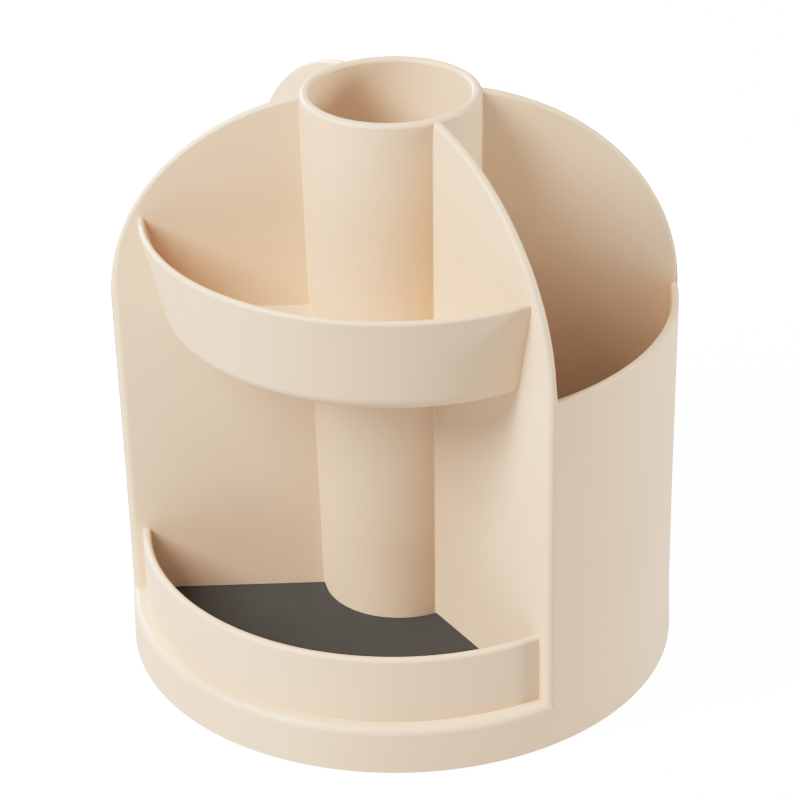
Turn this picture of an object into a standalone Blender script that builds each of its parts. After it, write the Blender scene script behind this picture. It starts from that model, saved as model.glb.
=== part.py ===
"""Rotary desk organizer: a round carousel of trays and pen cups on a ball-bearing turntable.

Units are metres and +Z is up. The origin is on the table, on the swivel axis. Four upright
panels part the drum into an open two-tier bay at the front (-Y) and at the back, and a deep
pen cup at each side. Profiles are (radius, height) pairs.
"""

import math

import bmesh
import bpy
from mathutils import Matrix

MM = 0.001
GAP = 0.3 * MM  # left between pieces that touch

# Drum: the outer wall of the two pen cups, on a skirt that runs all the way round.
DRUM_R = 70.4 * MM
WALL = 1.8 * MM
SKIRT_BOTTOM = 0.5 * MM  # clears the table, so that the drum can turn
LEDGE_TOP = 13.1 * MM
CUP_RIM = 97.0 * MM
LEDGE_ROUND = 1.5 * MM
FLANGE_INNER_R = 66.9 * MM
FLANGE_THICK = 1.1 * MM
SKIRT_INNER_R = 68.0 * MM

# Panels: each rises from the pillar at the drum to the tube along a quarter ellipse.
PANEL_THICK = 2.6 * MM
PANEL_SHIFT = 0.3 * MM  # from the radial plane towards the bay
ARCH_CENTRE_R = 9.5 * MM
ARCH_RISE = 54.2 * MM
ARCH_POINTS = 16
PANEL_ROUND = 0.8 * MM

# Bays: direction of the middle and half the width, in degrees.
BAYS = {"front": (-90.0, 60.0), "back": (90.0, 60.0)}
BAY_FACE = PANEL_THICK / 2 + PANEL_SHIFT  # a panel's face in the bay, from its radial plane
CUP_FACE = PANEL_THICK / 2 - PANEL_SHIFT  # its face in the cup

# Panels: direction in degrees, and the side its bay is on, 1 for clockwise seen from above.
PANELS = {
    "divider_front_left": (210.0, -1),
    "divider_front_right": (330.0, 1),
    "divider_back_right": (30.0, -1),
    "divider_back_left": (150.0, 1),
}

# Centre tube: a tapered cup with a hollow foot over the pivot screw.
TUBE_TOP = 150.6 * MM
TUBE_TOP_R = 22.0 * MM
TUBE_FOOT_R = 20.0 * MM
TUBE_WALL = 2.5 * MM
TUBE_FLOOR_BOTTOM = 15.9 * MM
TUBE_FLOOR_TOP = 17.9 * MM
TUBE_RIM_ROUND = 1.1 * MM

# Floor deck, mats and the low lip in front of each mat.
DECK_R = 67.7 * MM
DECK_TOP = 11.7 * MM
DECK_BOTTOM = 9.3 * MM
MAT_THICK = 1.0 * MM
MAT_OUTER_R = 64.0 * MM
LIP_TOP = 31.1 * MM
LIP_INNER_R = 64.4 * MM
LIP_OUTER_R = 66.6 * MM

# Upper trays: a floor with a leaning lip. The lip's arc is flatter than the drum's.
TRAY_BOTTOM = 92.7 * MM
TRAY_WALL = 1.7 * MM
TRAY_FLOOR_TOP = TRAY_BOTTOM + TRAY_WALL
TRAY_LIP_TOP = 119.5 * MM
TRAY_LIP_TOP_R = 63.5 * MM
TRAY_LIP_TILT = 12.0  # degrees outwards
TRAY_FOOT_ROUND = 5.6 * MM
TRAY_SET_BACK = 1.8 * MM  # from the swivel axis to the middle of the lip's arc

# Turntable: base plate with its post, balls in a cage, screw, washer and rubber feet.
BASE_R = 60.0 * MM
BASE_BOTTOM = 1.9 * MM
BASE_TOP = 3.9 * MM
POST_R = 4.0 * MM
POST_TOP = 12.0 * MM
POST_HOLE_R = 1.8 * MM
POST_HOLE_BOTTOM = 5.0 * MM
TRACK_R = 42.0 * MM
TRACK_DEPTH = 0.5 * MM
TRACK_HALF = 2.0 * MM
BALL_R = 2.0 * MM
BALL_COUNT = 8
RACE_HALF = 3.0 * MM
HUB_R = 9.0 * MM
CAGE_HALF = 3.5 * MM
CAGE_THICK = 1.4 * MM
SCREW_R = 1.5 * MM
SCREW_HEAD_R = 3.5 * MM
SCREW_HEAD_THICK = 2.0 * MM
WASHER_R = 7.5 * MM
WASHER_THICK = 0.8 * MM
FOOT_R = 6.0 * MM
FOOT_THICK = 1.6 * MM
FOOT_RING_R = 50.0 * MM
FOOT_COUNT = 4

STEPS = 72  # round a full turn, on the shells
INNER_STEPS = 48  # on the hidden pieces and the tube

parts = bpy.data.collections.new("desk_organizer")
cutters = bpy.data.collections.new("cutters")


def clear_scene():
    for obj in list(bpy.data.objects):
        bpy.data.objects.remove(obj, do_unlink=True)


def make_material(name, colour, roughness, metallic=0.0):
    material = bpy.data.materials.new(name)
    material.use_nodes = True
    shader = material.node_tree.nodes["Principled BSDF"]
    shader.inputs["Base Color"].default_value = (*colour, 1.0)
    shader.inputs["Roughness"].default_value = roughness
    shader.inputs["Metallic"].default_value = metallic
    material.diffuse_color = (*colour, 1.0)
    return material


def add_object(name, mesh, material):
    """Put a mesh in the parts' collection, or in the cutters' one if it has no material."""
    obj = bpy.data.objects.new(name, mesh)
    if material is None:
        cutters.objects.link(obj)
        obj.hide_render = True
        obj.display_type = "WIRE"
    else:
        parts.objects.link(obj)
        mesh.materials.append(material)
    return obj


def corner(centre_r, centre_z, radius, start_deg, end_deg, points=4):
    """Return points along an arc in the profile's plane."""
    arc = []
    for i in range(points):
        angle = math.radians(start_deg + (end_deg - start_deg) * i / (points - 1))
        arc.append((centre_r + radius * math.cos(angle), centre_z + radius * math.sin(angle)))
    return arc


def turned(name, profile, material, steps=STEPS):
    """Turn a profile about Z. It runs down its outer side, and it closes unless on the axis."""
    points = [(radius, 0.0, height) for radius, height in profile]
    edges = [(i, i + 1) for i in range(len(points) - 1)]
    if profile[0][0] > 0.0:
        edges.append((len(points) - 1, 0))
    mesh = bpy.data.meshes.new(name)
    mesh.from_pydata(points, edges, [])
    obj = add_object(name, mesh, material)
    screw = obj.modifiers.new("Turn", "SCREW")
    screw.steps = steps
    screw.render_steps = steps
    screw.use_merge_vertices = True
    screw.merge_threshold = 0.00001
    screw.use_smooth_shade = True
    return obj


def plate(name, outline, thickness, material=None):
    """Return a flat mesh piece, with its outline in local XY and its middle plane at Z = 0."""
    curve = bpy.data.curves.new(name, "CURVE")
    curve.dimensions = "2D"
    curve.fill_mode = "BOTH"
    curve.extrude = thickness / 2
    spline = curve.splines.new("POLY")
    spline.points.add(len(outline) - 1)
    for point, (x, y) in zip(spline.points, outline):
        point.co = (x, y, 0.0, 1.0)
    spline.use_cyclic_u = True
    flat = bpy.data.objects.new(name + "_outline", curve)
    cutters.objects.link(flat)
    depsgraph = bpy.context.evaluated_depsgraph_get()
    mesh = bpy.data.meshes.new_from_object(flat.evaluated_get(depsgraph))
    bpy.data.objects.remove(flat, do_unlink=True)
    solid = bmesh.new()
    solid.from_mesh(mesh)
    bmesh.ops.remove_doubles(solid, verts=solid.verts, dist=0.00001)
    bmesh.ops.recalc_face_normals(solid, faces=solid.faces)
    solid.to_mesh(mesh)
    solid.free()
    mesh.name = name
    return add_object(name, mesh, material)


def combine(obj, operation, other):
    boolean = obj.modifiers.new(other.name, "BOOLEAN")
    boolean.operation = operation
    boolean.solver = "EXACT"
    boolean.object = other


def wedge(name, middle_deg, half_deg, inset):
    """Return a tall prism over a sector whose two faces lie inset from its panels' mid-planes."""
    reach = 4 * DRUM_R
    middle = math.radians(middle_deg)
    half = math.radians(half_deg)
    apex = inset / math.sin(half)
    apex_x = apex * math.cos(middle)
    apex_y = apex * math.sin(middle)
    outline = [(apex_x, apex_y)]
    for side in (middle - half, middle + half):
        outline.append((apex_x + reach * math.cos(side), apex_y + reach * math.sin(side)))
    prism = plate(name, outline, 2 * TUBE_TOP)
    prism.location.z = TUBE_TOP / 2
    return prism


def tube_radius(height):
    """Return the tube's outer radius at a height."""
    share = (height - DECK_TOP) / (TUBE_TOP - DECK_TOP)
    return TUBE_FOOT_R + (TUBE_TOP_R - TUBE_FOOT_R) * share


def ring_places(count, radius, height):
    """Return evenly spaced places on a ring about the axis."""
    places = []
    for i in range(count):
        angle = 2 * math.pi * (i + 0.5) / count
        places.append((radius * math.cos(angle), radius * math.sin(angle), height))
    return places


def build_drum(shell):
    """Turn the full-height drum, then open it above the ledge at the front and the back."""
    inner = DRUM_R - WALL
    rim = CUP_RIM - WALL / 2
    flange_bottom = LEDGE_TOP - FLANGE_THICK
    profile = corner(DRUM_R - WALL / 2, rim, WALL / 2, 180, 0, 5)
    profile += corner(DRUM_R - WALL / 2, SKIRT_BOTTOM + WALL / 2, WALL / 2, 0, -90, 3)
    profile.append((SKIRT_INNER_R, SKIRT_BOTTOM))
    profile.append((SKIRT_INNER_R, flange_bottom))
    profile.append((FLANGE_INNER_R, flange_bottom))
    profile.append((FLANGE_INNER_R, LEDGE_TOP))
    profile.append((inner, LEDGE_TOP))
    drum = turned("drum", profile, shell)

    # The opening's floor is the ledge, with its rounded outer edge.
    beyond = DRUM_R + 5 * MM
    inside = FLANGE_INNER_R - 5 * MM
    above = CUP_RIM + 20 * MM
    edge = corner(DRUM_R - LEDGE_ROUND, LEDGE_TOP - LEDGE_ROUND, LEDGE_ROUND, -20, 90, 6)
    opening = [(inside, above), (beyond, above), (beyond, edge[0][1])] + edge
    opening.append((inside, LEDGE_TOP))
    for bay, (middle, half) in BAYS.items():
        cutter = turned("window_" + bay, opening, None)
        slot = wedge("window_wedge_" + bay, middle, half, -(CUP_FACE + GAP))
        combine(cutter, "INTERSECT", slot)
        combine(drum, "DIFFERENCE", cutter)
    return drum


def build_panels(shell):
    """Stand the four panels from the tube to the drum's outside, clear of the ledge."""
    floor = DECK_TOP + GAP
    outline = [(tube_radius(floor) + GAP, floor)]
    outline.append((FLANGE_INNER_R - GAP, floor))
    outline.append((FLANGE_INNER_R - GAP, LEDGE_TOP + GAP))
    outline.append((DRUM_R, LEDGE_TOP + GAP))
    run = DRUM_R - ARCH_CENTRE_R
    top_r = tube_radius(TUBE_TOP) + GAP
    last = math.acos((top_r - ARCH_CENTRE_R) / run)
    for i in range(ARCH_POINTS):
        angle = last * i / (ARCH_POINTS - 1)
        outline.append((ARCH_CENTRE_R + run * math.cos(angle), CUP_RIM + ARCH_RISE * math.sin(angle)))
    for name, (direction, side) in PANELS.items():
        angle = math.radians(direction)
        panel = plate(name, outline, PANEL_THICK, shell)
        panel.rotation_euler = (math.pi / 2, 0.0, angle)
        shift = side * PANEL_SHIFT
        panel.location = (shift * math.sin(angle), -shift * math.cos(angle), 0.0)
        bevel = panel.modifiers.new("Rounded edges", "BEVEL")
        bevel.width = PANEL_ROUND
        bevel.segments = 2


def build_tube(shell):
    """Turn the tapered tube with its closed floor, raised over the pivot screw."""
    foot = DECK_TOP + GAP
    foot_r = tube_radius(foot)
    rim = TUBE_TOP - TUBE_RIM_ROUND
    bore_top_r = TUBE_TOP_R - TUBE_WALL
    bore_foot_r = TUBE_FOOT_R - TUBE_WALL
    profile = [(0.0, TUBE_FLOOR_TOP)]
    profile += corner(bore_foot_r - MM, TUBE_FLOOR_TOP + MM, MM, -90, 0, 3)
    profile += corner(bore_top_r + TUBE_RIM_ROUND, rim, TUBE_RIM_ROUND, 180, 90, 4)
    profile += corner(TUBE_TOP_R - TUBE_RIM_ROUND, rim, TUBE_RIM_ROUND, 90, 0, 4)
    profile += [(foot_r, foot), (bore_foot_r, foot), (bore_foot_r, TUBE_FLOOR_BOTTOM)]
    profile.append((0.0, TUBE_FLOOR_BOTTOM))
    return turned("center_tube", profile, shell, INNER_STEPS)


def build_bay(bay, sector, shell, mat_material):
    """Build one bay's mat and low lip, each cut to the space between its panels."""
    between = wedge("wedge_" + bay, *sector, BAY_FACE + GAP)
    floor = DECK_TOP + GAP
    mat_inner_r = tube_radius(floor) + GAP
    mat = [(mat_inner_r, floor + MAT_THICK), (MAT_OUTER_R, floor + MAT_THICK)]
    mat += [(MAT_OUTER_R, floor), (mat_inner_r, floor)]
    combine(turned(bay + "_mat", mat, mat_material), "INTERSECT", between)

    half = (LIP_OUTER_R - LIP_INNER_R) / 2
    lip = corner(LIP_INNER_R + half, LIP_TOP - half, half, 180, 0, 7)
    lip += [(LIP_OUTER_R, floor), (LIP_INNER_R, floor)]
    combine(turned(bay + "_lower_lip", lip, shell), "INTERSECT", between)
    build_tray(bay, sector, between, shell)


def build_tray(bay, sector, between, shell):
    """Turn the upper tray as a dish about its lip's own centre, then fit it round the tube."""
    tilt = math.radians(TRAY_LIP_TILT)
    corner_z = TRAY_BOTTOM + TRAY_FOOT_ROUND
    lip_r = TRAY_LIP_TOP_R - (TRAY_LIP_TOP - corner_z) * math.tan(tilt)
    corner_r = lip_r - TRAY_FOOT_ROUND / math.cos(tilt)
    half = TRAY_WALL / 2
    tray = [(0.0, TRAY_FLOOR_TOP)]
    tray += corner(corner_r, corner_z, TRAY_FOOT_ROUND - TRAY_WALL, -90, -TRAY_LIP_TILT)
    tray += corner(
        TRAY_LIP_TOP_R - half, TRAY_LIP_TOP - half, half, 180 - TRAY_LIP_TILT, -TRAY_LIP_TILT, 5,
    )
    tray += corner(corner_r, corner_z, TRAY_FOOT_ROUND, -TRAY_LIP_TILT, -90, 6)
    tray.append((0.0, TRAY_BOTTOM))
    dish = turned(bay + "_upper_tray", tray, shell)
    middle = math.radians(sector[0])
    dish.location = (-TRAY_SET_BACK * math.cos(middle), -TRAY_SET_BACK * math.sin(middle), 0.0)
    combine(dish, "INTERSECT", between)

    clear_r = tube_radius(TRAY_FLOOR_TOP) + GAP
    clear = [(0.0, TUBE_TOP), (clear_r, TUBE_TOP), (clear_r, DECK_TOP), (0.0, DECK_TOP)]
    combine(dish, "DIFFERENCE", turned("tube_clearance_" + bay, clear, None, INNER_STEPS))


def build_deck(shell):
    """Turn the floor of all the compartments, with its hub and the race that the balls carry."""
    race = BASE_TOP - TRACK_DEPTH + 2 * BALL_R + 2 * GAP
    bore = POST_R + GAP
    hub_top = POST_TOP
    profile = [(bore, hub_top), (HUB_R, hub_top), (HUB_R, DECK_TOP), (DECK_R, DECK_TOP)]
    profile += [(DECK_R, DECK_BOTTOM), (TRACK_R + RACE_HALF, DECK_BOTTOM)]
    profile += [(TRACK_R + RACE_HALF, race), (TRACK_R - RACE_HALF, race)]
    profile += [(TRACK_R - RACE_HALF, DECK_BOTTOM), (HUB_R, DECK_BOTTOM)]
    profile += [(HUB_R, race), (bore, race)]
    return turned("floor_deck", profile, shell, INNER_STEPS)


def build_base(base_material):
    """Turn the base plate with its ball track and its post."""
    track = BASE_TOP - TRACK_DEPTH
    profile = [(POST_HOLE_R, POST_HOLE_BOTTOM), (POST_HOLE_R, POST_TOP), (POST_R, POST_TOP)]
    profile += [(POST_R, BASE_TOP), (TRACK_R - TRACK_HALF, BASE_TOP)]
    profile += [(TRACK_R - TRACK_HALF / 2, track), (TRACK_R + TRACK_HALF / 2, track)]
    profile += [(TRACK_R + TRACK_HALF, BASE_TOP), (BASE_R, BASE_TOP), (BASE_R, BASE_BOTTOM)]
    profile = [(0.0, POST_HOLE_BOTTOM)] + profile + [(0.0, BASE_BOTTOM)]
    return turned("base_plate", profile, base_material, INNER_STEPS)


def build_pivot(steel):
    """Build the washer over the deck's hub and the screw that holds it on the post."""
    washer_bottom = POST_TOP + GAP
    washer_top = washer_bottom + WASHER_THICK
    hole = SCREW_R + GAP
    washer = [(hole, washer_top), (WASHER_R, washer_top), (WASHER_R, washer_bottom)]
    washer.append((hole, washer_bottom))
    turned("pivot_washer", washer, steel, INNER_STEPS)

    head_bottom = washer_top + GAP
    head_top = head_bottom + SCREW_HEAD_THICK
    shank_end = POST_HOLE_BOTTOM + GAP
    screw = [(0.0, head_top), (SCREW_HEAD_R / 2, head_top)]
    screw += [(SCREW_HEAD_R, head_bottom + SCREW_HEAD_THICK / 3), (SCREW_HEAD_R, head_bottom)]
    screw += [(SCREW_R, head_bottom), (SCREW_R, shank_end), (0.0, shank_end)]
    turned("pivot_screw", screw, steel, INNER_STEPS // 2)


def build_bearing(cage_material, steel):
    """Build the balls and the cage that spaces them round the track."""
    centre_z = BASE_TOP - TRACK_DEPTH + GAP + BALL_R
    low = centre_z - CAGE_THICK / 2
    high = centre_z + CAGE_THICK / 2
    inner = TRACK_R - CAGE_HALF
    outer = TRACK_R + CAGE_HALF
    ring = [(inner, high), (outer, high), (outer, low), (inner, low)]
    cage = turned("ball_cage", ring, cage_material, INNER_STEPS)
    for number, place in enumerate(ring_places(BALL_COUNT, TRACK_R, centre_z), 1):
        pocket_mesh = bpy.data.meshes.new("pocket")
        pocket = bmesh.new()
        bmesh.ops.create_cone(
            pocket, cap_ends=True, segments=16, radius1=BALL_R + GAP, radius2=BALL_R + GAP,
            depth=3 * CAGE_THICK, matrix=Matrix.Translation(place),
        )
        pocket.to_mesh(pocket_mesh)
        pocket.free()
        combine(cage, "DIFFERENCE", add_object(f"pocket_{number}", pocket_mesh, None))

        ball_mesh = bpy.data.meshes.new("ball")
        ball = bmesh.new()
        bmesh.ops.create_uvsphere(ball, u_segments=12, v_segments=8, radius=BALL_R)
        ball.to_mesh(ball_mesh)
        ball.free()
        ball_mesh.shade_smooth()
        add_object(f"ball_{number}", ball_mesh, steel).location = place


def build_feet(rubber):
    """Build the rubber pads that the organizer stands on."""
    places = ring_places(FOOT_COUNT, FOOT_RING_R, FOOT_THICK / 2)
    for number, place in enumerate(places, 1):
        foot_mesh = bpy.data.meshes.new("foot_pad")
        foot = bmesh.new()
        bmesh.ops.create_cone(
            foot, cap_ends=True, segments=24, radius1=FOOT_R, radius2=FOOT_R, depth=FOOT_THICK,
        )
        foot.to_mesh(foot_mesh)
        foot.free()
        add_object(f"foot_pad_{number}", foot_mesh, rubber).location = place


def main():
    clear_scene()
    bpy.context.scene.collection.children.link(parts)
    bpy.context.scene.collection.children.link(cutters)
    shell = make_material("shell_plastic", (0.74, 0.58, 0.44), 0.5)
    mat_material = make_material("mat_foam", (0.09, 0.085, 0.075), 0.85)
    base_material = make_material("base_plastic", (0.62, 0.49, 0.37), 0.55)
    cage_material = make_material("cage_plastic", (0.75, 0.74, 0.70), 0.45)
    steel = make_material("steel", (0.60, 0.60, 0.61), 0.28, 1.0)
    rubber = make_material("foot_rubber", (0.05, 0.05, 0.05), 0.8)

    build_drum(shell)
    build_panels(shell)
    build_tube(shell)
    build_deck(shell)
    for bay, sector in BAYS.items():
        build_bay(bay, sector, shell, mat_material)
    build_base(base_material)
    build_pivot(steel)
    build_bearing(cage_material, steel)
    build_feet(rubber)


main()
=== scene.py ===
"""Looks of the rotary desk organizer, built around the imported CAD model.

Units are metres in the CAD's own frame: +Z up along the swivel axis, -Y out of the front bay.
Every piece but the floor deck and the ball cage is rebuilt with fine, rounded edges. The moulded
shells run into each other, so the joints look closed, while each piece stays its own object on
its own body.
"""

import math

import bmesh
import bpy
from mathutils import Matrix, Vector


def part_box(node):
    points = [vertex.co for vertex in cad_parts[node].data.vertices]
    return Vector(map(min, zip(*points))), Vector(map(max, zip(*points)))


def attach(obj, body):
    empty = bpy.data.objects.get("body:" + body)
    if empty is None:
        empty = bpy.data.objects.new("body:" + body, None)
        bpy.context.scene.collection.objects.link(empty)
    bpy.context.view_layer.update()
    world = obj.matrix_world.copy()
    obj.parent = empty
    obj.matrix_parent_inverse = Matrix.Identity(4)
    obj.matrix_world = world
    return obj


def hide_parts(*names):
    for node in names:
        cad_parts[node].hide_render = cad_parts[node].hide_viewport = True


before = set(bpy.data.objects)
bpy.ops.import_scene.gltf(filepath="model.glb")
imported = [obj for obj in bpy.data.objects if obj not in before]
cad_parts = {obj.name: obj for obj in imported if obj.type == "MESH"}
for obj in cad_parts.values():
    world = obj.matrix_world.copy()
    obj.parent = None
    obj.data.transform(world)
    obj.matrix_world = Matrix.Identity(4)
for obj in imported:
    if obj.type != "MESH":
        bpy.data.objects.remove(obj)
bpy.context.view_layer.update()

MM = 0.001


# --- Sizes read from the frame -------------------------------------------------------------

def low(name):
    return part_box(name)[0]


def high(name):
    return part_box(name)[1]


DRUM_R = high("drum").x
SKIRT_BOTTOM = low("drum").z
CUP_RIM = high("drum").z
FLOOR = high("floor_deck").z
MAT_BOTTOM = low("front_mat").z
MAT_TOP = high("front_mat").z
LIP_TOP = high("front_lower_lip").z
LIP_R = -low("front_lower_lip").y
TRAY_BOTTOM = low("front_upper_tray").z
TRAY_TOP = high("front_upper_tray").z
TUBE_TOP = high("center_tube").z
TUBE_TOP_R = high("center_tube").x
TUBE_BOTTOM = low("center_tube").z

# --- Moulded sizes that the boxes don't tell ------------------------------------------------

CUP_WALL = 1.8 * MM
SKIRT_WALL = 2.0 * MM
SKIRT_FOOT_ROUND = 0.4 * MM
WAIST_R = DRUM_R - 0.35 * MM  # the drum narrows a hair between its foot and its rim
WAIST_LOW = 15.0 * MM
WAIST_HIGH = 45.0 * MM
LEDGE_TOP = MAT_TOP + 0.1 * MM
LEDGE_ROUND = 1.9 * MM
LEDGE_INNER_R = LIP_R - 0.5 * MM  # under the lower lip, so that no gap shows
LEDGE_THICK = 1.1 * MM

BAY_FACE = 1.6 * MM  # a panel's face in the bay, from its radial plane, at the floor
CUP_FACE = 1.0 * MM  # its face in the cup
BAY_DRAFT = 0.15 * MM  # what the bay face loses towards the top
BAY_SWELL = 0.3 * MM  # what the bay face gains from the drum to the tube
CUP_DRAFT = 0.35 * MM  # what the cup face loses
PILLAR_ROUND = 2.1 * MM  # of the upright edge beside the window
ARCH_ROUND = 0.98 * MM
PANELS = {  # direction, and the side its bay is on, 1 for clockwise seen from above
    "divider_front_left": (210.0, -1),
    "divider_front_right": (330.0, 1),
    "divider_back_right": (30.0, -1),
    "divider_back_left": (150.0, 1),
}
ARCH_CENTRE_R = 9.5 * MM
ARCH_RISE = 54.2 * MM
ARCH_POINTS = 72
ARCH_BELOW_RIM = 0.2 * MM  # a panel's top, at its highest, below the tube's rim
PANEL_FACES = (  # sign, distance, swell, draft, and the rounding of the upright edge
    (1, BAY_FACE, BAY_SWELL, BAY_DRAFT, PILLAR_ROUND),
    (-1, CUP_FACE, 0.0, CUP_DRAFT, ARCH_ROUND),
)
TUBE_FILLET = 0.5 * MM  # where a panel's face meets the tube
FILLET_FADE = (  # depth below the tube's rim, and the fillet's radius there
    (8.0 * MM, TUBE_FILLET),
    (3.0 * MM, TUBE_FILLET / 2),
    (1.8 * MM, 0.1 * MM),
)
SUNK = 0.02 * MM  # a face that lies just under a flush neighbour
BITE = 1.0 * MM  # how far a piece runs into its neighbour

TUBE_FOOT_R = 20.0 * MM
TUBE_WALL = 2.5 * MM
TUBE_RIM_ROUND = 1.1 * MM
TUBE_FLOOR = 17.9 * MM
TUBE_FLOOR_THICK = 2.0 * MM
TUBE_CORNER = 2.0 * MM

LIP_THICK = 2.2 * MM
TRAY_WALL = 1.7 * MM
TRAY_LIP_TOP_R = 63.5 * MM
TRAY_LIP_TILT = 12.0  # degrees outwards
TRAY_FOOT_ROUND = 5.6 * MM
TRAY_SET_BACK = 1.8 * MM  # from the swivel axis to the middle of the lip's flatter arc
MAT_ROUND = 0.25 * MM
MAT_CLEAR = 0.1 * MM  # from the panels and the lip
MAT_TUBE_CLEAR = 0.15 * MM

BASE_TOP = 3.9 * MM
BASE_ROUND = 0.5 * MM
POST_R = 4.0 * MM
POST_HOLE_R = 1.8 * MM
POST_HOLE_BOTTOM = 5.0 * MM
TRACK_R = 42.0 * MM
TRACK_ROUND = 2.25 * MM  # of the groove that the balls roll in
TRACK_DEPTH = 0.5 * MM
SCREW_R = 1.5 * MM
SCREW_DOME = 0.9 * MM
SCREW_GAP = 0.3 * MM  # between the screw's head and the washer
WASHER_HOLE_R = 1.8 * MM
METAL_ROUND = 0.2 * MM
PAD_ROUND = 0.4 * MM

BAYS = {"front": -90.0, "back": 90.0}
BAY_HALF = 60.0
CUPS = {"right": 0.0, "left": 180.0}
CUP_HALF = 30.0
FINE_STEP = math.radians(1.25)
TUBE_STEP = math.radians(2.5)


# --- Mesh building --------------------------------------------------------------------------

def arc(centre_r, centre_z, radius, start_deg, end_deg, segments):
    """Return points along an arc in a (radius, height) profile."""
    points = []
    for i in range(segments + 1):
        angle = math.radians(start_deg + (end_deg - start_deg) * i / segments)
        points.append((centre_r + radius * math.cos(angle), centre_z + radius * math.sin(angle)))
    return points


def steps_between(start, end, step=FINE_STEP):
    """Return evenly spaced angles from start to end, at most a step apart."""
    count = math.ceil(abs(end - start) / step)
    return [start + (end - start) * i / count for i in range(count + 1)]


def mesh_object(name, build, smooth_angle=32.0):
    """Turn a bmesh into an object with clean normals, smooth except at its sharp edges."""
    bmesh.ops.remove_doubles(build, verts=build.verts, dist=1e-7)
    loose = [edge for edge in build.edges if edge.is_wire]
    bmesh.ops.delete(build, geom=loose, context="EDGES")
    bmesh.ops.recalc_face_normals(build, faces=build.faces)
    mesh = bpy.data.meshes.new(name)
    build.to_mesh(mesh)
    build.free()
    mesh.shade_smooth()
    mesh.set_sharp_from_angle(angle=math.radians(smooth_angle))
    obj = bpy.data.objects.new(name, mesh)
    bpy.context.scene.collection.objects.link(obj)
    return obj


def weighted_normals(obj):
    """Let the large flat faces keep their own normals beside rounded edges."""
    modifier = obj.modifiers.new("Even shading", "WEIGHTED_NORMAL")
    modifier.keep_sharp = True
    modifier.weight = 60


def skin(build, loops, closed=False):
    """Skin loops of vertices in turn. A run that doesn't close on itself gets flat ends."""
    following = loops[1:] + loops[:1] if closed else loops[1:]
    for loop, after in zip(loops, following):
        for i, corner in enumerate(loop):
            j = (i + 1) % len(loop)
            build.faces.new((corner, loop[j], after[j], after[i]))
    if not closed:
        build.faces.new(loops[0])
        build.faces.new(loops[-1])


def lofted(name, sections, closed):
    """Skin closed profile loops that stand at angles about Z."""
    build = bmesh.new()
    loops = []
    for angle, profile in sections:
        across, along = math.cos(angle), math.sin(angle)
        loops.append([build.verts.new((r * across, r * along, z)) for r, z in profile])
    skin(build, loops, closed)
    obj = mesh_object(name, build)
    weighted_normals(obj)
    return obj


def turned(name, profile, step=FINE_STEP):
    """Turn a profile loop all the way round."""
    angles = steps_between(0.0, 2 * math.pi, step)[:-1]
    return lofted(name, [(angle, profile) for angle in angles], closed=True)


def swept(name, profile, middle_deg, half_deg):
    """Sweep a profile loop across a sector."""
    start = math.radians(middle_deg - half_deg)
    end = math.radians(middle_deg + half_deg)
    return lofted(name, [(angle, profile) for angle in steps_between(start, end)], closed=False)


def tube_radius(height):
    share = (height - TUBE_BOTTOM) / (TUBE_TOP - TUBE_BOTTOM)
    return TUBE_FOOT_R + (TUBE_TOP_R - TUBE_FOOT_R) * share


# --- Moulded shells -------------------------------------------------------------------------

def drum_radius(height):
    """Return the drum's outer radius, which has its waist above the foot."""
    if height < WAIST_LOW:
        share = (WAIST_LOW - height) / (WAIST_LOW - SKIRT_BOTTOM)
    else:
        share = max(0.0, (height - WAIST_HIGH) / (CUP_RIM - WAIST_HIGH))
    return WAIST_R + (DRUM_R - WAIST_R) * share


def skirt_profile(upper):
    """Return a drum section: the given upper part, then down inside the skirt and back up."""
    foot_round = SKIRT_FOOT_ROUND
    foot = arc(DRUM_R - foot_round, SKIRT_BOTTOM + foot_round, foot_round, 0, -90, 4)
    inner = DRUM_R - SKIRT_WALL
    under = LEDGE_TOP - LEDGE_THICK
    ledge_foot = LEDGE_TOP - LEDGE_ROUND
    shared_top = (drum_radius(ledge_foot), ledge_foot)
    inside = [(inner, SKIRT_BOTTOM), (inner, under), (LEDGE_INNER_R, under)]
    return upper + [shared_top] + foot + inside


def build_drum():
    """Loft the drum: a skirt all round, open above its ledge at the bays, with two cup walls.

    The loft needs as many points in the ledge's section as in the wall's, so the ledge repeats
    its inner point.
    """
    segments = 8
    inner_point = (LEDGE_INNER_R, LEDGE_TOP)
    half = CUP_WALL / 2
    wall = [inner_point, (DRUM_R - CUP_WALL, LEDGE_TOP)]
    wall += arc(DRUM_R - half, CUP_RIM - half, half, 180, 0, segments)[:-1]
    wall += [(drum_radius(z), z) for z in (CUP_RIM - half, WAIST_HIGH, WAIST_LOW)]
    ledge_r = drum_radius(LEDGE_TOP - LEDGE_ROUND) - LEDGE_ROUND
    edge = arc(ledge_r, LEDGE_TOP - LEDGE_ROUND, LEDGE_ROUND, 90, 0, segments)[:-1]
    ledge = [inner_point] * (len(wall) - len(edge)) + edge
    wall = skirt_profile(wall)
    ledge = skirt_profile(ledge)
    overlap = math.asin((BAY_FACE - PILLAR_ROUND) / DRUM_R)
    sections = []
    for middle_deg, half_deg, profile, spread in (
        (CUPS["right"], CUP_HALF, wall, overlap),
        (BAYS["back"], BAY_HALF, ledge, -overlap),
        (CUPS["left"], CUP_HALF, wall, overlap),
        (BAYS["front"] + 360.0, BAY_HALF, ledge, -overlap),
    ):
        start = math.radians(middle_deg - half_deg) - spread
        end = math.radians(middle_deg + half_deg) + spread
        sections += [(angle, profile) for angle in steps_between(start, end)]
    return lofted("drum_shell", sections, closed=True)


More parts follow.
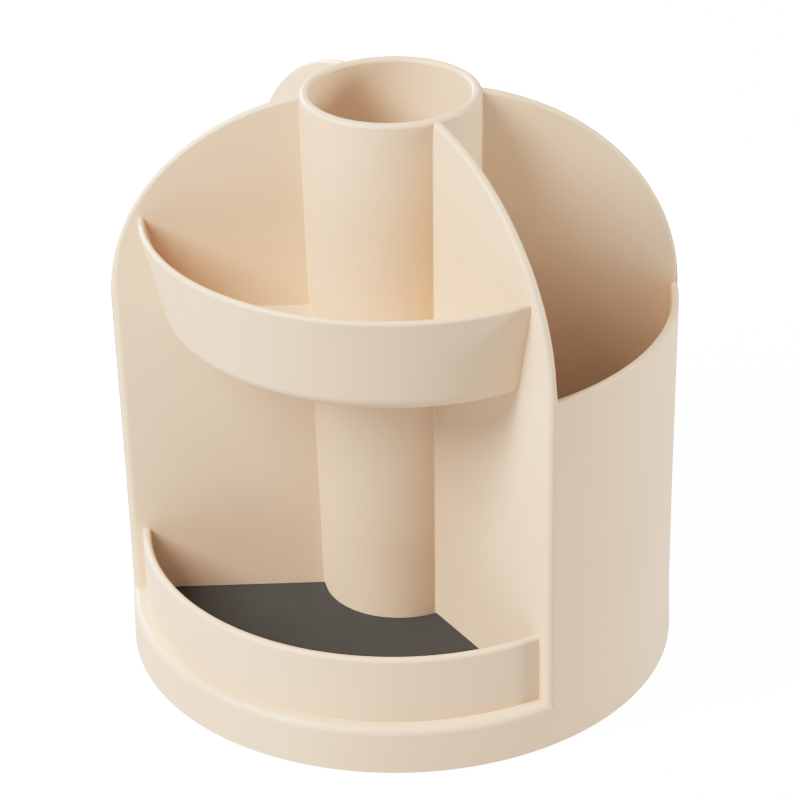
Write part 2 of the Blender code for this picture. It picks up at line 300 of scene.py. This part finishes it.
def panel_outline():
    """Return a panel's outline as (radius, height, inward normal, roundness from 0 to 1) rows."""
    foot = FLOOR - BITE
    rows = [(WAIST_R - BITE, foot, (0.0, 0.0), 0.0)]
    for z in (LEDGE_TOP - LEDGE_ROUND, WAIST_LOW, WAIST_HIGH):
        rows.append((drum_radius(z) - SUNK, z, (-1.0, 0.0), 0.0))
    outer = DRUM_R - SUNK
    run = outer - ARCH_CENTRE_R
    join_r = TUBE_TOP_R - TUBE_RIM_ROUND / 2
    last = math.acos((join_r - ARCH_CENTRE_R) / run)
    highest = TUBE_TOP - ARCH_BELOW_RIM
    for i in range(ARCH_POINTS + 1):
        angle = last * i / ARCH_POINTS
        across, up = math.cos(angle), math.sin(angle)
        length = math.hypot(across / run, up / ARCH_RISE)
        inward = (-across / run / length, -up / ARCH_RISE / length)
        share = min(1.0, i / (ARCH_POINTS / 4))
        z = min(highest, CUP_RIM + ARCH_RISE * up)
        rows.append((ARCH_CENTRE_R + run * across, z, inward, share))
    rows.append((TUBE_TOP_R - 1.5 * BITE, highest - BITE, (0.0, 0.0), 1.0))
    rows.append((tube_radius(foot) - BITE, foot, (0.0, 0.0), 1.0))
    return rows


def add_fillet(build, face, draft, side):
    """Add the hollow fillet between a panel's face, on the given side, and the tube."""
    stations = [(FLOOR - BITE, TUBE_FILLET)]
    stations += [(TUBE_TOP - depth, radius) for depth, radius in FILLET_FADE]
    loops = []
    for height, radius in stations:
        flat = face - draft * (height - FLOOR) / (TUBE_TOP - FLOOR)
        tube = tube_radius(height)
        centre_x = math.sqrt((tube + radius) ** 2 - (flat + radius) ** 2)
        last = math.atan2(flat + radius, centre_x)
        run = arc(centre_x, flat + radius, radius, -90, -180 + math.degrees(last), 6)
        run.append((tube - BITE, SUNK))
        loops.append([build.verts.new((x, side * y, height)) for x, y in run])
    skin(build, loops)


def panel_rim(outline, side, face, angle):
    """Return the outline moved round one face's rounded edge.

    The angle is 0 where the rounding leaves the face, and a quarter turn at the edge's tip.
    """
    sign, distance, swell, draft, pillar_round = face
    rim = []
    for r, z, (inward_r, inward_z), share in outline:
        height = (z - FLOOR) / (TUBE_TOP - FLOOR)
        half = distance + swell * (DRUM_R - r) / (DRUM_R - TUBE_TOP_R) - draft * height
        rounding = pillar_round + (ARCH_ROUND - pillar_round) * share
        inset = rounding * (1 - math.sin(angle))
        y = half - rounding * (1 - math.cos(angle))
        rim.append((r + inward_r * inset, -side * sign * y, z + inward_z * inset))
    return rim


def build_divider(name):
    """Build one arched panel out of rims that step round its edge, from one face to the other.

    Its pillar is flush with the drum, and its foot and its inner end run into their neighbours.
    """
    direction, side = PANELS[name]
    outline = panel_outline()
    turns = 7
    angles = [math.pi / 2 * step / turns for step in range(turns + 1)]
    bay_face, cup_face = PANEL_FACES
    rims = [panel_rim(outline, side, bay_face, angle) for angle in angles]
    rims += [panel_rim(outline, side, cup_face, angle) for angle in reversed(angles)]
    build = bmesh.new()
    skin(build, [[build.verts.new(point) for point in rim] for rim in rims])
    add_fillet(build, BAY_FACE + BAY_SWELL, BAY_DRAFT, -side)
    add_fillet(build, CUP_FACE, CUP_DRAFT, side)
    panel = mesh_object(name + "_panel", build, 40.0)
    weighted_normals(panel)
    panel.rotation_euler.z = math.radians(direction)
    return panel


def build_tube():
    """Turn the tapered tube, with a rounded rim and a rounded corner at its floor."""
    rim = TUBE_TOP - TUBE_RIM_ROUND
    bore_top_r = TUBE_TOP_R - TUBE_WALL
    bore_foot_r = TUBE_FOOT_R - TUBE_WALL
    foot = FLOOR - BITE / 2
    profile = [(0.0, TUBE_FLOOR)]
    corner_r = bore_foot_r - TUBE_CORNER
    profile += arc(corner_r, TUBE_FLOOR + TUBE_CORNER, TUBE_CORNER, -90, 0, 6)
    profile += arc(bore_top_r + TUBE_RIM_ROUND, rim, TUBE_RIM_ROUND, 180, 90, 6)
    profile += arc(TUBE_TOP_R - TUBE_RIM_ROUND, rim, TUBE_RIM_ROUND, 90, 0, 6)
    profile += [(tube_radius(foot), foot), (bore_foot_r, foot)]
    under = TUBE_FLOOR - TUBE_FLOOR_THICK
    profile += [(bore_foot_r, under), (0.0, under)]
    return turned("center_tube_shell", profile, TUBE_STEP)


def build_lower_lip(bay):
    half = LIP_THICK / 2
    profile = arc(LIP_R - half, LIP_TOP - half, half, 180, 0, 12)
    foot = FLOOR - BITE / 2
    profile += [(LIP_R, foot), (LIP_R - LIP_THICK, foot)]
    return swept(bay + "_lip", profile, BAYS[bay], BAY_HALF)


def build_upper_tray(bay):
    """Sweep the tray: a floor round the tube, a wide inner corner and a lip that leans outwards."""
    tilt = math.radians(TRAY_LIP_TILT)
    corner_z = TRAY_BOTTOM + TRAY_FOOT_ROUND
    lip_r = TRAY_LIP_TOP_R - (TRAY_TOP - corner_z) * math.tan(tilt)
    corner_r = lip_r - TRAY_FOOT_ROUND / math.cos(tilt)
    half = TRAY_WALL / 2
    outer = arc(corner_r, corner_z, TRAY_FOOT_ROUND - TRAY_WALL, -90, -TRAY_LIP_TILT, 10)
    outer += arc(
        TRAY_LIP_TOP_R - half, TRAY_TOP - half, half, 180 - TRAY_LIP_TILT, -TRAY_LIP_TILT, 12,
    )
    outer += arc(corner_r, corner_z, TRAY_FOOT_ROUND, -TRAY_LIP_TILT, -90, 14)
    inner_r = tube_radius(TRAY_BOTTOM) - BITE
    sections = []
    for turn in steps_between(math.radians(-BAY_HALF), math.radians(BAY_HALF)):
        back = TRAY_SET_BACK * math.cos(turn)
        aside = TRAY_SET_BACK * math.sin(turn)
        profile = [(math.sqrt(r * r - aside * aside) - back, z) for r, z in outer]
        profile += [(inner_r, TRAY_BOTTOM), (inner_r, TRAY_BOTTOM + TRAY_WALL)]
        sections.append((math.radians(BAYS[bay]) + turn, profile))
    return lofted(bay + "_tray", sections, closed=False)


def build_mat(bay):
    """Build the foam mat as a flat sheet with a soft upper edge, a hair short of its neighbours."""
    start = math.radians(BAYS[bay] - BAY_HALF)
    end = math.radians(BAYS[bay] + BAY_HALF)
    inset = BAY_FACE + MAT_CLEAR
    inner_r = tube_radius(MAT_BOTTOM) + MAT_TUBE_CLEAR
    outer_r = LIP_R - LIP_THICK - MAT_CLEAR
    outline = []
    there_and_back = (outer_r, steps_between(start, end)), (inner_r, steps_between(end, start))
    for radius, angles in there_and_back:
        clear = math.asin(inset / radius)
        scale = (end - start - 2 * clear) / (end - start)
        for angle in angles:
            placed = start + clear + (angle - start) * scale
            outline.append((radius * math.cos(placed), radius * math.sin(placed)))
    build = bmesh.new()
    rings = []
    for z in (FLOOR, MAT_TOP):
        rings.append([build.verts.new((x, y, z)) for x, y in outline])
        build.faces.new(rings[-1])
    for i in range(len(outline)):
        j = (i + 1) % len(outline)
        build.faces.new((rings[0][i], rings[0][j], rings[1][j], rings[1][i]))
    mat = mesh_object(bay + "_mat_sheet", build)
    bevel = mat.modifiers.new("Soft edge", "BEVEL")
    bevel.width = MAT_ROUND
    bevel.segments = 3
    bevel.angle_limit = math.radians(50)
    weighted_normals(mat)
    return mat


# --- Turntable ------------------------------------------------------------------------------

def build_base():
    """Turn the base plate, with its post and the groove that the balls roll in."""
    outer_r = high("base_plate").x
    bottom = low("base_plate").z
    top = high("base_plate").z
    groove_z = BASE_TOP - TRACK_DEPTH + TRACK_ROUND
    reach = math.degrees(math.acos((TRACK_ROUND - TRACK_DEPTH) / TRACK_ROUND))
    profile = [(0.0, bottom)]
    profile += arc(outer_r - BASE_ROUND, bottom + BASE_ROUND, BASE_ROUND, -90, 0, 5)
    profile += arc(outer_r - BASE_ROUND, BASE_TOP - BASE_ROUND, BASE_ROUND, 0, 90, 5)
    profile += arc(TRACK_R, groove_z, TRACK_ROUND, reach - 90, -reach - 90, 10)
    profile += [(POST_R, BASE_TOP), (POST_R, top), (POST_HOLE_R, top)]
    profile += [(POST_HOLE_R, POST_HOLE_BOTTOM), (0.0, POST_HOLE_BOTTOM)]
    return turned("base_plate_moulded", profile)


def build_washer():
    outer_r = high("pivot_washer").x
    bottom = low("pivot_washer").z
    top = high("pivot_washer").z
    profile = arc(outer_r - METAL_ROUND, bottom + METAL_ROUND, METAL_ROUND, -90, 0, 3)
    profile += arc(outer_r - METAL_ROUND, top - METAL_ROUND, METAL_ROUND, 0, 90, 3)
    profile += [(WASHER_HOLE_R, top), (WASHER_HOLE_R, bottom)]
    return turned("pivot_washer_pressed", profile, 2 * FINE_STEP)


def build_screw():
    """Turn the pivot screw: a shank, and a head with a domed top."""
    head_r = high("pivot_screw").x
    end = low("pivot_screw").z
    top = high("pivot_screw").z
    head_bottom = high("pivot_washer").z + SCREW_GAP
    shoulder = top - SCREW_DOME
    profile = [(0.0, end), (SCREW_R, end), (SCREW_R, head_bottom), (head_r, head_bottom)]
    turns = 8
    for i in range(turns + 1):
        angle = math.pi / 2 * i / turns
        profile.append((head_r * math.cos(angle), shoulder + SCREW_DOME * math.sin(angle)))
    return turned("pivot_screw_turned", profile, 2 * FINE_STEP)


def build_ball(name):
    """Build a smooth ball in the place of a CAD one."""
    centre = (low(name) + high(name)) / 2
    build = bmesh.new()
    radius = high(name).z - centre.z
    bmesh.ops.create_uvsphere(build, u_segments=40, v_segments=20, radius=radius)
    ball = mesh_object(name + "_polished", build)
    ball.location = centre
    return ball


def build_foot_pad(name):
    """Turn a rubber pad with a rounded lower edge."""
    centre = (low(name) + high(name)) / 2
    bottom, top = low(name).z, high(name).z
    radius = high(name).x - centre.x
    profile = [(0.0, bottom)] + arc(radius - PAD_ROUND, bottom + PAD_ROUND, PAD_ROUND, -90, 0, 5)
    profile += [(radius, top), (0.0, top)]
    pad = turned(name + "_rubber", profile, 4 * FINE_STEP)
    pad.location = (centre.x, centre.y, 0.0)
    return pad


# --- Materials ------------------------------------------------------------------------------

SHELL_COLOUR = (0.82, 0.62, 0.447)
BASE_COLOUR = (0.62, 0.47, 0.35)
NYLON_COLOUR = (0.72, 0.70, 0.64)
FOAM_COLOUR = (0.049, 0.048, 0.044)
STEEL_COLOUR = (0.60, 0.60, 0.61)
RUBBER_COLOUR = (0.045, 0.045, 0.045)
GRAIN = 0.16 * MM  # of the moulds' spark-eroded skin
GRAIN_DEPTH = 0.012 * MM


def node(tree, kind, **values):
    """Add a shader node and set its input sockets by name."""
    made = tree.nodes.new(kind)
    for name, value in values.items():
        made.inputs[name.replace("_", " ")].default_value = value
    return made


def plastic(name, colour, roughness):
    """Moulded plastic: fine spark-eroded grain, faint flow mottling and uneven gloss."""
    material = bpy.data.materials.new(name)
    material.use_nodes = True
    tree = material.node_tree
    link = tree.links.new
    shader = tree.nodes["Principled BSDF"]
    shader.inputs["Specular IOR Level"].default_value = 0.42
    shader.inputs["IOR"].default_value = 1.5
    place = node(tree, "ShaderNodeTexCoord")

    flow = node(tree, "ShaderNodeTexNoise", Scale=28.0, Detail=3.0, Roughness=0.55)
    link(place.outputs["Object"], flow.inputs["Vector"])
    tint = tree.nodes.new("ShaderNodeValToRGB")
    dark = [channel * 0.975 for channel in colour]
    light = [min(1.0, channel * 1.02) for channel in colour]
    tint.color_ramp.elements[0].color = (*dark, 1.0)
    tint.color_ramp.elements[1].color = (*light, 1.0)
    tint.color_ramp.elements[0].position = 0.3
    tint.color_ramp.elements[1].position = 0.7
    link(flow.outputs["Fac"], tint.inputs["Fac"])
    link(tint.outputs["Color"], shader.inputs["Base Color"])

    gloss = node(tree, "ShaderNodeTexNoise", Scale=90.0, Detail=4.0, Roughness=0.6)
    link(place.outputs["Object"], gloss.inputs["Vector"])
    spread = node(tree, "ShaderNodeMapRange")
    spread.inputs["To Min"].default_value = roughness - 0.04
    spread.inputs["To Max"].default_value = roughness + 0.05
    link(gloss.outputs["Fac"], spread.inputs["Value"])
    link(spread.outputs["Result"], shader.inputs["Roughness"])

    spark = node(tree, "ShaderNodeTexNoise", Scale=0.4 / GRAIN, Detail=2.0, Roughness=0.5)
    link(place.outputs["Object"], spark.inputs["Vector"])
    bump = node(tree, "ShaderNodeBump", Strength=0.35, Distance=GRAIN_DEPTH)
    link(spark.outputs["Fac"], bump.inputs["Height"])
    link(bump.outputs["Normal"], shader.inputs["Normal"])
    return material


def foam(name, colour):
    """Closed-cell foam sheet: fine pores, a dry sheen and slight cloudiness."""
    material = bpy.data.materials.new(name)
    material.use_nodes = True
    tree = material.node_tree
    link = tree.links.new
    shader = tree.nodes["Principled BSDF"]
    shader.inputs["Roughness"].default_value = 0.82
    shader.inputs["Specular IOR Level"].default_value = 0.3
    place = node(tree, "ShaderNodeTexCoord")
    cells = node(tree, "ShaderNodeTexVoronoi", Scale=2600.0)
    link(place.outputs["Object"], cells.inputs["Vector"])
    cloud = node(tree, "ShaderNodeTexNoise", Scale=60.0, Detail=5.0, Roughness=0.7)
    link(place.outputs["Object"], cloud.inputs["Vector"])
    tint = tree.nodes.new("ShaderNodeValToRGB")
    tint.color_ramp.elements[0].color = (*[channel * 0.93 for channel in colour], 1.0)
    tint.color_ramp.elements[1].color = (*[channel * 1.07 for channel in colour], 1.0)
    tint.color_ramp.elements[0].position = 0.3
    tint.color_ramp.elements[1].position = 0.7
    link(cloud.outputs["Fac"], tint.inputs["Fac"])
    link(tint.outputs["Color"], shader.inputs["Base Color"])
    bump = node(tree, "ShaderNodeBump", Strength=0.5, Distance=0.05 * MM)
    link(cells.outputs["Distance"], bump.inputs["Height"])
    link(bump.outputs["Normal"], shader.inputs["Normal"])
    return material


def metal(name, colour, roughness):
    """Bearing steel with a fine turned finish."""
    material = bpy.data.materials.new(name)
    material.use_nodes = True
    tree = material.node_tree
    link = tree.links.new
    shader = tree.nodes["Principled BSDF"]
    shader.inputs["Base Color"].default_value = (*colour, 1.0)
    shader.inputs["Metallic"].default_value = 1.0
    place = node(tree, "ShaderNodeTexCoord")
    scratches = node(tree, "ShaderNodeTexNoise", Scale=1800.0, Detail=3.0, Roughness=0.6)
    link(place.outputs["Object"], scratches.inputs["Vector"])
    spread = node(tree, "ShaderNodeMapRange")
    spread.inputs["To Min"].default_value = roughness - 0.08
    spread.inputs["To Max"].default_value = roughness + 0.08
    link(scratches.outputs["Fac"], spread.inputs["Value"])
    link(spread.outputs["Result"], shader.inputs["Roughness"])
    return material


def rubber(name, colour):
    """Anti-slip rubber with a dusty, matte skin."""
    material = foam(name, colour)
    material.node_tree.nodes["Principled BSDF"].inputs["Roughness"].default_value = 0.7
    return material


def paint(obj, material):
    obj.data.materials.clear()
    obj.data.materials.append(material)


def dress(piece, material, slot, *nodes, body="carousel"):
    """Paint a new piece, and let it ride for the CAD nodes that it stands for."""
    paint(piece, material)
    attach(piece, body)
    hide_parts(*nodes)


# --- Stage ----------------------------------------------------------------------------------

CAMERA_AZIMUTH = math.radians(28.79)
CAMERA_PITCH = math.radians(28.86)
CAMERA_ROLL = -0.0215
CAMERA_PLACE = (0.31087, -0.56432, 0.42060)
CAMERA_LENS = 130.46  # millimetres, on a sensor of 36 mm
LIGHT_DISTANCE = 1.5
LIGHT_TARGET = Vector((0.0, 0.0, 0.07))
LIGHTS = {  # azimuth and elevation in degrees, width, height, power in watts
    "key": (-30.0, 43.0, 0.4, 0.95, 30.0),
    "right_rim": (120.0, 14.0, 0.35, 0.35, 11.7),
    "left_rim": (-120.0, 14.0, 0.35, 0.35, 15.5),
}
FLOOR_HALF = 3.0
FLOOR_LOOKS = (  # share of light reflected, and glow: first for the light, then for the camera
    (0.08, 0.84),
    (0.9, 2.2),
)
DOME_GLOW = 0.4
DOME_WHITE = 4.0  # as the camera sees it
FILM_SHOULDER = 0.3
FILM_WHITE = 3.5  # the light that comes out as white
FILM_POINTS = 22
FILM_SPACING = 1.6  # above 1, the curve's points lie closer together in the darks


def build_camera():
    data = bpy.data.cameras.new("camera")
    data.lens = CAMERA_LENS
    data.sensor_width = 36.0
    camera = bpy.data.objects.new("camera", data)
    bpy.context.scene.collection.objects.link(camera)
    turn = Matrix.Rotation(CAMERA_AZIMUTH, 4, "Z")
    tilt = Matrix.Rotation(math.pi / 2 - CAMERA_PITCH, 4, "X")
    roll = Matrix.Rotation(CAMERA_ROLL, 4, "Z")
    camera.matrix_world = Matrix.Translation(CAMERA_PLACE) @ turn @ tilt @ roll
    bpy.context.scene.camera = camera


def build_area_light(name, azimuth, elevation, width, height, power):
    """Add a softbox that faces the organizer. Azimuth 0 is in front of it, at -Y, and 90 at +X."""
    data = bpy.data.lights.new(name, "AREA")
    data.shape = "RECTANGLE"
    data.size = width
    data.size_y = height
    data.energy = power
    light = bpy.data.objects.new(name, data)
    bpy.context.scene.collection.objects.link(light)
    a, e = math.radians(azimuth), math.radians(elevation)
    away = Vector((math.sin(a) * math.cos(e), -math.cos(a) * math.cos(e), math.sin(e)))
    light.location = LIGHT_TARGET + away * LIGHT_DISTANCE
    light.rotation_euler = (-away).to_track_quat("-Z", "Y").to_euler()


def build_floor():
    """Build a lit table top: it glows softly on the organizer, and the camera sees it as white."""
    build = bmesh.new()
    bmesh.ops.create_grid(build, x_segments=1, y_segments=1, size=FLOOR_HALF)
    floor = mesh_object("floor", build)
    material = bpy.data.materials.new("floor_white")
    material.use_nodes = True
    tree = material.node_tree
    tree.nodes.remove(tree.nodes["Principled BSDF"])
    rays = tree.nodes.new("ShaderNodeLightPath")
    looks = []
    for reflected, glow in FLOOR_LOOKS:
        matte = node(tree, "ShaderNodeBsdfDiffuse", Color=(reflected, reflected, reflected, 1.0))
        light = node(tree, "ShaderNodeEmission", Strength=glow)
        both = tree.nodes.new("ShaderNodeAddShader")
        tree.links.new(matte.outputs["BSDF"], both.inputs[0])
        tree.links.new(light.outputs["Emission"], both.inputs[1])
        looks.append(both)
    choice = tree.nodes.new("ShaderNodeMixShader")
    tree.links.new(rays.outputs["Is Camera Ray"], choice.inputs["Fac"])
    tree.links.new(looks[0].outputs["Shader"], choice.inputs[1])
    tree.links.new(looks[1].outputs["Shader"], choice.inputs[2])
    tree.links.new(choice.outputs["Shader"], tree.nodes["Material Output"].inputs["Surface"])
    paint(floor, material)


def build_dome():
    """Surround the stage with a dim white dome that the camera sees as plain white."""
    world = bpy.data.worlds.new("studio")
    world.use_nodes = True
    tree = world.node_tree
    background = tree.nodes["Background"]
    background.inputs["Color"].default_value = (1.0, 1.0, 1.0, 1.0)
    rays = tree.nodes.new("ShaderNodeLightPath")
    spread = tree.nodes.new("ShaderNodeMapRange")
    spread.inputs["To Min"].default_value = DOME_GLOW
    spread.inputs["To Max"].default_value = DOME_WHITE
    tree.links.new(rays.outputs["Is Camera Ray"], spread.inputs["Value"])
    tree.links.new(spread.outputs["Result"], background.inputs["Strength"])
    bpy.context.scene.world = world


def film(x):
    """Return a film's response: linear in the darks, with a long shoulder in the lights."""
    if x <= FILM_SHOULDER:
        return x
    room = 1.0 - FILM_SHOULDER
    return FILM_SHOULDER + room * (1.0 - math.exp((FILM_SHOULDER - x) / room))


def set_film():
    """Set the film's curve over the plain display transform."""
    view = bpy.context.scene.view_settings
    view.view_transform = "Standard"
    view.use_curve_mapping = True
    mapping = view.curve_mapping
    mapping.white_level = (FILM_WHITE, FILM_WHITE, FILM_WHITE)
    points = mapping.curves[3].points
    points[0].location = (0.0, 0.0)
    points[1].location = (1.0, 1.0)
    for i in range(1, FILM_POINTS):
        x = (i / FILM_POINTS) ** FILM_SPACING
        points.new(x, film(x * FILM_WHITE) / film(FILM_WHITE))
    for point in points:
        point.handle_type = "VECTOR"
    mapping.update()


def build_stage():
    build_floor()
    build_dome()
    for name, setting in LIGHTS.items():
        build_area_light(name, *setting)
    set_film()


# --- Assembly -------------------------------------------------------------------------------

def main():
    build_camera()
    build_stage()
    shell = plastic("shell_beige", SHELL_COLOUR, 0.46)
    base = plastic("base_beige", BASE_COLOUR, 0.55)
    nylon = plastic("cage_nylon", NYLON_COLOUR, 0.42)
    mat = foam("mat_grey", FOAM_COLOUR)
    steel = metal("bearing_steel", STEEL_COLOUR, 0.25)
    pad_rubber = rubber("pad_rubber", RUBBER_COLOUR)

    dress(build_drum(), shell, "shell_plastic", "drum")
    dress(build_tube(), shell, "shell_plastic", "center_tube")
    for panel in PANELS:
        dress(build_divider(panel), shell, "shell_plastic", panel)
    for bay in BAYS:
        dress(build_lower_lip(bay), shell, "shell_plastic", bay + "_lower_lip")
        dress(build_upper_tray(bay), shell, "shell_plastic", bay + "_upper_tray")
        dress(build_mat(bay), mat, "mat_foam", bay + "_mat")

    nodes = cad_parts
    paint(nodes["floor_deck"], shell)
    paint(nodes["ball_cage"], nylon)
    dress(build_base(), base, "base_plastic", "base_plate", body="base")
    dress(build_washer(), steel, "steel", "pivot_washer", body="base")
    dress(build_screw(), steel, "steel", "pivot_screw", body="base")
    for name in sorted(nodes):
        if name.startswith("foot_pad"):
            dress(build_foot_pad(name), pad_rubber, "foot_rubber", name, body="base")
        if name.startswith("ball_") and name != "ball_cage":
            dress(build_ball(name), steel, "steel", name, body="ball_ring")


main()
